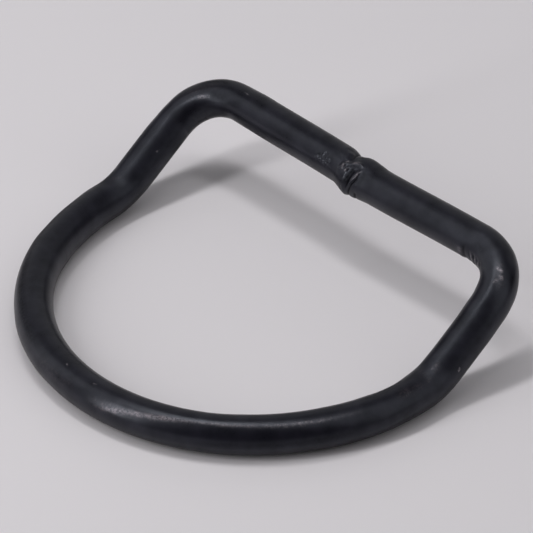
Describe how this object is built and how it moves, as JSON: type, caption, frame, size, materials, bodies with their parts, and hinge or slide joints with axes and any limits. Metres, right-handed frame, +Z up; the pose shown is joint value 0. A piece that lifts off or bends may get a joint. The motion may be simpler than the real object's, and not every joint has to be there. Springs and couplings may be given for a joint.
{
  "type": "folded d ring",
  "caption": "D-ring of round welded wire, folded across its arms: webbing wraps the straight bar, and the half-round loop takes a hook or clip.",
  "frame": {"origin": "on the ground, under the middle of the ring's box, with the half-round loop lying flat on the ground", "axes": "+X along the bar, +Y from the loop to the bar, +Z up, the side to which the arms are folded"},
  "size_m": [0.062, 0.0516, 0.0148],
  "materials": {
    "black_coating": "satin near-black coating on steel wire, worn paler on the loop's front and on both corners"
  },
  "bodies": {
    "root": {"ring": "black_coating"}
  },
  "joints": []
}
